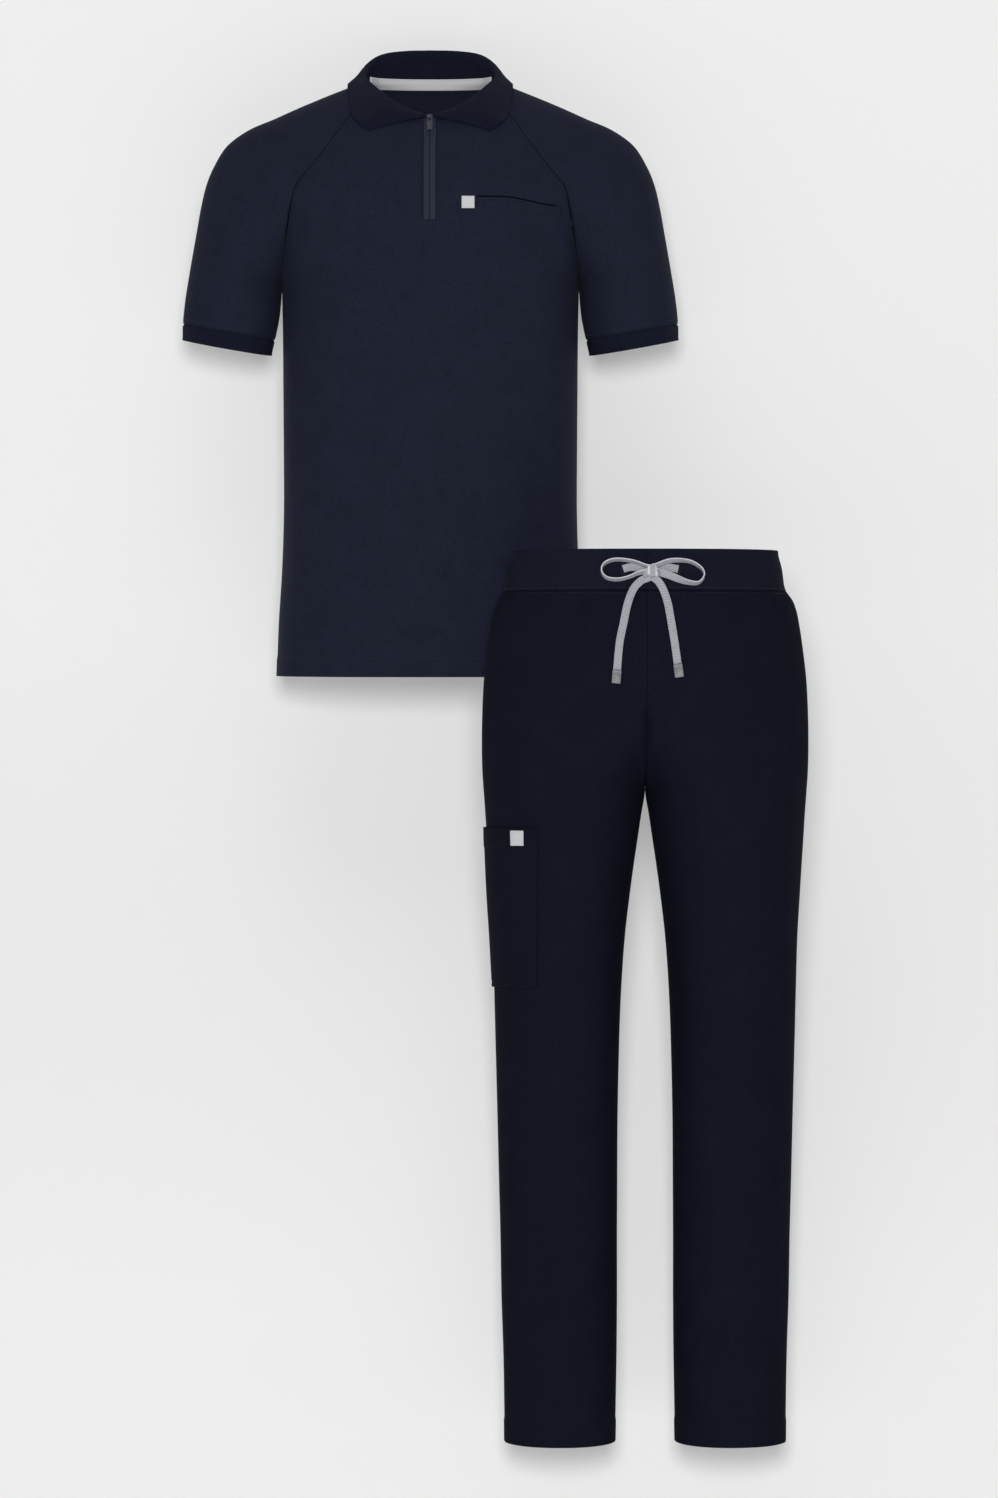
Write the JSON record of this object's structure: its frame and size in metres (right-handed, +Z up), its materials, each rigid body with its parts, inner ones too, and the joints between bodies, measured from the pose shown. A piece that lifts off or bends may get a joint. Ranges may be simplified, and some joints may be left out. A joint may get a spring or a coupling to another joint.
{
  "type": "medical scrubs",
  "caption": "Two-piece scrub set: short raglan-sleeved top with ribbed polo collar and half zip, and straight trousers with a drawstring waist and thigh pocket.",
  "frame": {"origin": "the middle of the top's neck opening, on the line between the shoulders' highest seam points", "axes": "+Z up the body, -Y the wearer's front, +X the wearer's left"},
  "size_m": [0.7416, 0.4419, 1.656],
  "materials": {
    "top_cloth": "matte stretch weave",
    "trouser_cloth": "matte stretch weave",
    "rib_knit": "fine rib knit",
    "neck_tape": "matte twill tape",
    "zip_tape": "matte woven tape",
    "zip_metal": "dark satin",
    "white_tab": "woven tab",
    "cord": "flat woven cord",
    "cord_tip": "matte"
  },
  "bodies": {
    "garments": {"top_front": "top_cloth", "top_back": "top_cloth", "sleeve_left": "top_cloth", "sleeve_right": "top_cloth", "sleeve_band_left": "rib_knit", "sleeve_band_right": "rib_knit", "collar": "rib_knit", "neck_tape": "neck_tape", "zip_tape_left": "zip_tape", "zip_tape_right": "zip_tape", "zip_slider": "zip_metal", "chest_pocket_welt": "top_cloth", "chest_tab": "white_tab", "leg_front_left": "trouser_cloth", "leg_back_left": "trouser_cloth", "leg_front_right": "trouser_cloth", "leg_back_right": "trouser_cloth", "waistband": "trouser_cloth", "cargo_pocket": "trouser_cloth", "leg_tab": "white_tab", "cord_right_stub": "cord", "cord_right_loop": "cord", "cord_right_end": "cord", "cord_left_stub": "cord", "cord_left_loop": "cord", "cord_left_end": "cord", "cord_knot": "cord", "cord_tip_right": "cord_tip", "cord_tip_left": "cord_tip"},
    "zip_pull": {"zip_pull": "zip_metal"}
  },
  "joints": [
    {"name": "zip_pull_tilt", "type": "hinge", "parent": "garments", "child": "zip_pull", "pos_m": [0, -0.0846, -0.03426], "axis": [-1, 0, 0], "range_deg": [0, 120]}
  ]
}
